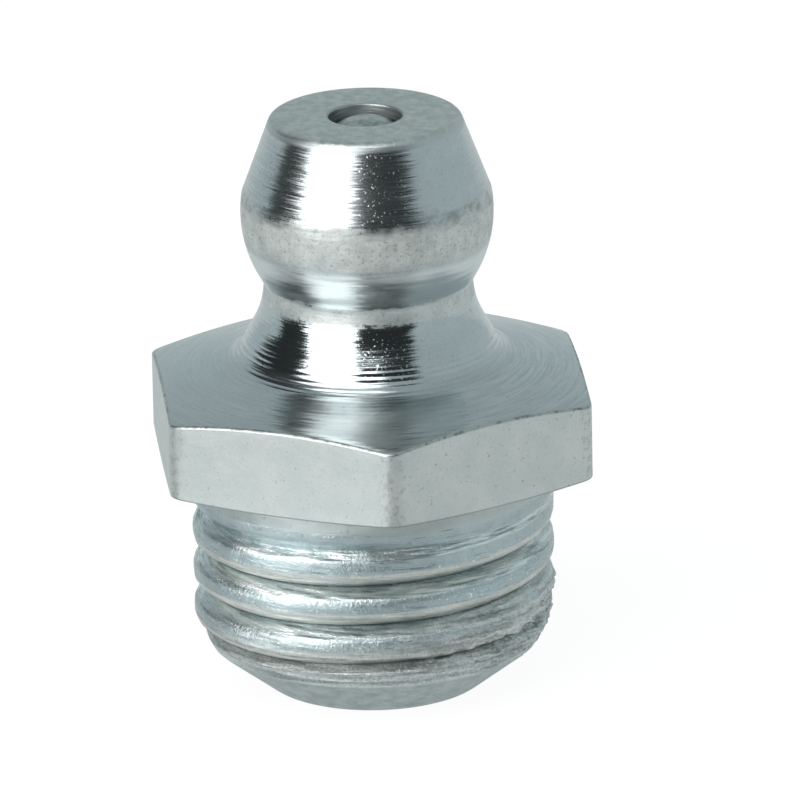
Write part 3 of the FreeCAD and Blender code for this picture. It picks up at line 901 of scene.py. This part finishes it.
def thread_colour(nodes, scaled, zones, fine, other, grain):
    """Bluish crests, flanks with fine lines, pale strips of painted floor reflection, painted glints, torn
    metal low down, specks of dirt, dark streaks, and painted shade along the groove's root.
    """
    patches = nodes.noise(scaled, 1.3, 4.0, 0.6)
    specks = nodes.step(nodes.noise(scaled, 8.0, 4.0, 0.7), 0.60, 0.70)
    mottled = nodes.step(nodes.noise(scaled, 2.4, 4.0, 0.7), 0.36, 0.64)
    crest = nodes.mix_colour(patches, *CREST_ZINC)
    colour = nodes.mix_colour(zones["collar"], crest, nodes.mix_colour(patches, *COLLAR_ZINC))
    colour = nodes.mix_colour(zones["cone"], colour, nodes.mix_colour(mottled, *CONE_ZINC))
    flank = zones["flank"]
    colour = nodes.mix_colour(nodes.times(flank, 0.6), colour, FLANK_ZINC)
    dark = nodes.times(flank, nodes.times(nodes.step(fine, 0.52, 0.62), 0.45))
    colour = nodes.mix_colour(dark, colour, DARK_LINES)
    bright = nodes.times(flank, nodes.step(fine, 0.50, 0.40))
    colour = nodes.mix_colour(bright, colour, BRIGHT_LINES)
    # The pale strip is a painted reflection of the floor.
    painted_reflection = nodes.mix_colour(nodes.step(fine, 0.36, 0.62), *PAINTED_THREAD_REFLECTION)
    colour = nodes.mix_colour(zones["pale"], colour, painted_reflection)
    # Small white glints are painted on the cut thread.
    painted_glints = nodes.times(zones["cut"], nodes.step(nodes.noise(scaled, 15.0, 2.0, 0.5), 0.66, 0.70))
    colour = nodes.mix_colour(painted_glints, colour, PAINTED_GLINTS)
    streaks = nodes.step(nodes.mix(0.6, grain, other), 0.34, 0.64)
    colour = nodes.mix_colour(nodes.times(zones["torn"], 0.8), colour, nodes.mix_colour(streaks, *TORN_METAL))
    lines = nodes.times(nodes.step(fine, 0.60, 0.70), nodes.times(zones["thread"], 0.5))
    # Specks of dirt, dark streaks along the roll marks, and painted shade along the groove's root.
    darkening = nodes.most(nodes.times(specks, 0.35), nodes.times(zones["root"], 0.4), lines)
    return nodes.mix_colour(darkening, colour, THREAD_DIRT_AND_SHADE)


def thread_lean(nodes, height, zones, fine, other):
    """Lean of the shank's surface, round the axis and upwards: marks of the rolls and torn ridges."""
    smooth = zones["smooth"]
    phase = nodes.times(nodes.plus(height, centred(nodes, other, 0.25)), 2 * math.pi / RIDGE_PERIOD)
    ridges = nodes.times(nodes.math("SINE", phase), nodes.times(zones["torn"], 0.28))
    fine_lean = nodes.mix(zones["flank"], nodes.mix(smooth, 1.05, 0.10), 1.9)
    upward = nodes.plus(centred(nodes, fine, fine_lean),
                        centred(nodes, other, nodes.mix(smooth, 0.60, 0.12)),
                        ridges)
    sideways = nodes.plus(centred(nodes, other, 0.30), nodes.mix(smooth, 0.13, 0.0))
    return sideways, upward


def thread_steel():
    """The rolled thread and the end cone: bluish streaked crests, pale strips painted as a reflection of the
    floor, and torn metal low down.
    """
    def build(nodes):
        scaled, radius, height = object_place(nodes)
        fine = rolled_marks(nodes, scaled, 15.0, 0.8)
        other = rolled_marks(nodes, scaled, 8.0, 0.5)
        grain = nodes.noise(scaled, 13.0, 4.0, 0.65)
        zones = thread_zones(nodes, scaled, radius, height, other)
        colour = thread_colour(nodes, scaled, zones, fine, other, grain)
        roughness = nodes.mix(fine, 0.05, 0.34)
        roughness = nodes.mix(nodes.most(zones["pale"], zones["smooth"]), roughness, 0.45)
        roughness = nodes.mix(zones["torn"], roughness, 0.42)
        sideways, upward = thread_lean(nodes, height, zones, fine, other)
        normal = tilted(nodes, scaled, radius, sideways, upward)
        strength = nodes.mix(zones["torn"], nodes.mix(zones["smooth"], 0.85, 0.15), 1.0)
        normal = nodes.bump(grain, 30 * MICRON, strength, normal)
        return colour, roughness, normal
    return metal("rolled_zinc", build)


def bore_steel():
    """Inside of the bore: drilled and darker."""
    def build(nodes):
        scaled, radius, _ = object_place(nodes)
        streaks = turned_marks(nodes, scaled, radius, 10.0, 1.0)
        colour = nodes.mix_colour(streaks, *DRILLED_STEEL)
        normal = nodes.bump(streaks, 20 * MICRON, 0.7)
        return colour, nodes.mix(streaks, 0.3, 0.5), normal
    return metal("drilled_bore", build)


def ball_steel():
    """The check ball: ground steel with a light film."""
    def build(nodes):
        scaled = in_millimetres(nodes)
        film = nodes.noise(scaled, 4.0, 4.0, 0.6)
        colour = nodes.mix_colour(nodes.step(film, 0.35, 0.65), *GROUND_STEEL)
        normal = nodes.bump(nodes.noise(scaled, 12.0, 2.0), 4 * MICRON, 0.5)
        return colour, nodes.mix(film, 0.26, 0.46), normal
    return metal("ground_ball", build)


def spring_steel():
    """The spring's wire: drawn and darker than the body."""
    def build(nodes):
        film = nodes.noise(in_millimetres(nodes), 9.0, 3.0, 0.6)
        colour = nodes.mix_colour(film, *DRAWN_WIRE)
        normal = nodes.bump(film, 6 * MICRON, 0.5)
        return colour, nodes.mix(film, 0.22, 0.40), normal
    return metal("spring_wire", build)


def studio_sides(nodes, side):
    """Shares of the softbox and of the two dark cards at a bearing in degrees, 0 towards the camera."""
    box = nodes.between(side, *BOX_SIDES, soft=3.0)
    left = nodes.between(side, *LEFT_CARD_SIDES, soft=4.0)
    right_reach = nodes.less(1.0, nodes.step(side, *RIGHT_CARD_END))
    right = nodes.times(nodes.step(side, *RIGHT_CARD_START), right_reach)
    return box, left, right


def camera_side(nodes, vector):
    """Bearing of a vector in degrees, 0 towards the camera and positive to its right, and its z."""
    turned = nodes.add("ShaderNodeVectorRotate", {"Vector": vector, "Angle": -CAMERA_AZIMUTH},
                       rotation_type="Z_AXIS").outputs[0]
    x, y, z = nodes.split(turned)
    side = nodes.math("ARCTAN2", x, nodes.times(y, -1.0))
    return nodes.times(side, 180 / math.pi), z


def studio_world():
    """White for the camera; for the metal a grey studio with one softbox between two dark cards."""
    world = bpy.data.worlds.new("studio")
    bpy.context.scene.world = world
    world.use_nodes = True
    nodes = Nodes(world.node_tree)
    side, z = camera_side(nodes, nodes.add("ShaderNodeTexCoord").outputs["Generated"])
    lift = nodes.times(nodes.math("ARCSINE", z), 180 / math.pi)
    box, left, right = studio_sides(nodes, side)
    # The softbox hangs over the right card's inner part.
    over = nodes.times(nodes.between(side, *OVERHANG_SIDES, soft=5.0),
                       nodes.between(lift, *OVERHANG_LIFTS, soft=4.0))
    box = nodes.most(nodes.times(box, nodes.between(lift, *BOX_LIFTS, soft=4.0)), over)
    # A dimmer top part reaches up to the zenith.
    top = nodes.times(nodes.between(side, *TOP_SIDES, soft=6.0), nodes.step(lift, *TOP_LIFT))
    high_left = nodes.times(nodes.between(side, *HIGH_LEFT_SIDES, soft=4.0),
                            nodes.between(lift, *HIGH_LEFT_LIFTS, soft=3.0))
    left = nodes.most(nodes.times(left, nodes.between(lift, *LEFT_CARD_LIFTS, soft=5.0)), high_left)
    right = nodes.times(right, nodes.between(lift, *RIGHT_CARD_LIFTS, soft=4.0))
    room = nodes.mix(nodes.step(z, 0.1, 0.9), *ROOM_LIGHT)
    level = nodes.mix(nodes.most(left, right), room, CARD_LIGHT)
    level = nodes.plus(level, nodes.times(box, BOX_LIGHT), nodes.times(top, TOP_LIGHT))
    tint = nodes.mix_colour(box, ROOM_TINT, BOX_TINT)
    studio = nodes.add("ShaderNodeBackground", {"Color": tint, "Strength": level})
    white = nodes.add("ShaderNodeBackground", {"Color": WHITE, "Strength": 1.0})
    seen = nodes.add("ShaderNodeLightPath").outputs["Is Camera Ray"]
    shown = nodes.add("ShaderNodeMixShader", {0: seen, 1: studio.outputs[0], 2: white.outputs[0]})
    nodes.add("ShaderNodeOutputWorld", {"Surface": shown.outputs[0]})


def floor_material():
    """White for the camera, lit in the studio's sectors for the metal, and clear from below."""
    material = bpy.data.materials.new("white_floor")
    material.use_nodes = True
    nodes = Nodes(material.node_tree)
    place = nodes.add("ShaderNodeNewGeometry")
    position = place.outputs["Position"]
    side, _ = camera_side(nodes, position)
    box, left, right = studio_sides(nodes, side)
    distance = nodes.add("ShaderNodeVectorMath", {0: position}, operation="LENGTH").outputs["Value"]
    ring = nodes.between(distance, *FLOOR_RING)
    level = nodes.mix(nodes.times(nodes.most(left, right), ring), FLOOR_LIGHT, FLOOR_CARD_LIGHT)
    level = nodes.plus(level, nodes.times(box, ring, FLOOR_BOX_LIGHT))
    paper = nodes.add("ShaderNodeBsdfDiffuse", {"Color": PAPER})
    white = nodes.add("ShaderNodeEmission", {"Color": WHITE, "Strength": FLOOR_WHITE})
    mirrored = nodes.add("ShaderNodeEmission", {"Color": FLOOR_TINT, "Strength": level})
    clear = nodes.add("ShaderNodeBsdfTransparent")
    path = nodes.add("ShaderNodeLightPath")
    camera_share = nodes.times(path.outputs["Is Camera Ray"], CAMERA_SHARE)
    glossy_share = nodes.times(path.outputs["Is Glossy Ray"], GLOSSY_SHARE)
    lit = nodes.add("ShaderNodeMixShader", {0: camera_share, 1: paper.outputs[0], 2: white.outputs[0]})
    lit = nodes.add("ShaderNodeMixShader", {0: glossy_share, 1: lit.outputs[0], 2: mirrored.outputs[0]})
    backfacing = place.outputs["Backfacing"]
    shown = nodes.add("ShaderNodeMixShader", {0: backfacing, 1: lit.outputs[0], 2: clear.outputs[0]})
    nodes.add("ShaderNodeOutputMaterial", {"Surface": shown.outputs[0]})
    return material


def studio_floor():
    """A white floor that keeps a faint shadow and isn't there when seen from below."""
    mesh = bpy.data.meshes.new("floor")
    corners = [(x * FLOOR_REACH, y * FLOOR_REACH, 0) for x, y in ((-1, -1), (1, -1), (1, 1), (-1, 1))]
    mesh.from_pydata(corners, [], [(0, 1, 2, 3)])
    mesh.materials.append(floor_material())
    floor = linked("floor", mesh)


def photo_camera():
    """A long lens at the photograph's bearing, distance and roll."""
    data = bpy.data.cameras.new("camera")
    data.sensor_width = SENSOR_WIDTH
    data.lens = PIXELS_PER_METRE * CAMERA_DISTANCE * SENSOR_WIDTH / PHOTO_WIDTH
    data.clip_start = 0.01
    data.clip_end = 5
    camera = linked("camera", data)
    back = Vector((math.sin(CAMERA_AZIMUTH) * math.cos(CAMERA_ELEVATION),
                   -math.cos(CAMERA_AZIMUTH) * math.cos(CAMERA_ELEVATION), math.sin(CAMERA_ELEVATION)))
    upright = (-back).to_track_quat("-Z", "Y")
    roll = Quaternion((0, 0, 1), -CAMERA_ROLL)
    camera.rotation_mode = "QUATERNION"
    camera.rotation_quaternion = upright @ roll
    # The photograph's pixel of the axis is that at the height of the hexagon's top corners.
    aim = Vector((0, 0, HEX_TOP))
    half = PHOTO_WIDTH / 2
    across = (half - PHOTO_AXIS_X) / PIXELS_PER_METRE
    up = (PHOTO_AXIS_Y - half) / PIXELS_PER_METRE
    sideways = camera.rotation_quaternion @ Vector((across, up, 0))
    camera.location = aim + sideways + back * CAMERA_DISTANCE
    bpy.context.scene.camera = camera


photo_camera()
studio_world()
studio_floor()

body = nipple_piece()
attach(body, "nipple")
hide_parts("nipple_body")

ball = ball_piece()
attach(ball, "ball")
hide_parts("check_ball")

spring = spring_piece()
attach(spring, "nipple")
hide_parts("return_spring")
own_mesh(spring)

bpy.context.scene.view_settings.view_transform = "Standard"
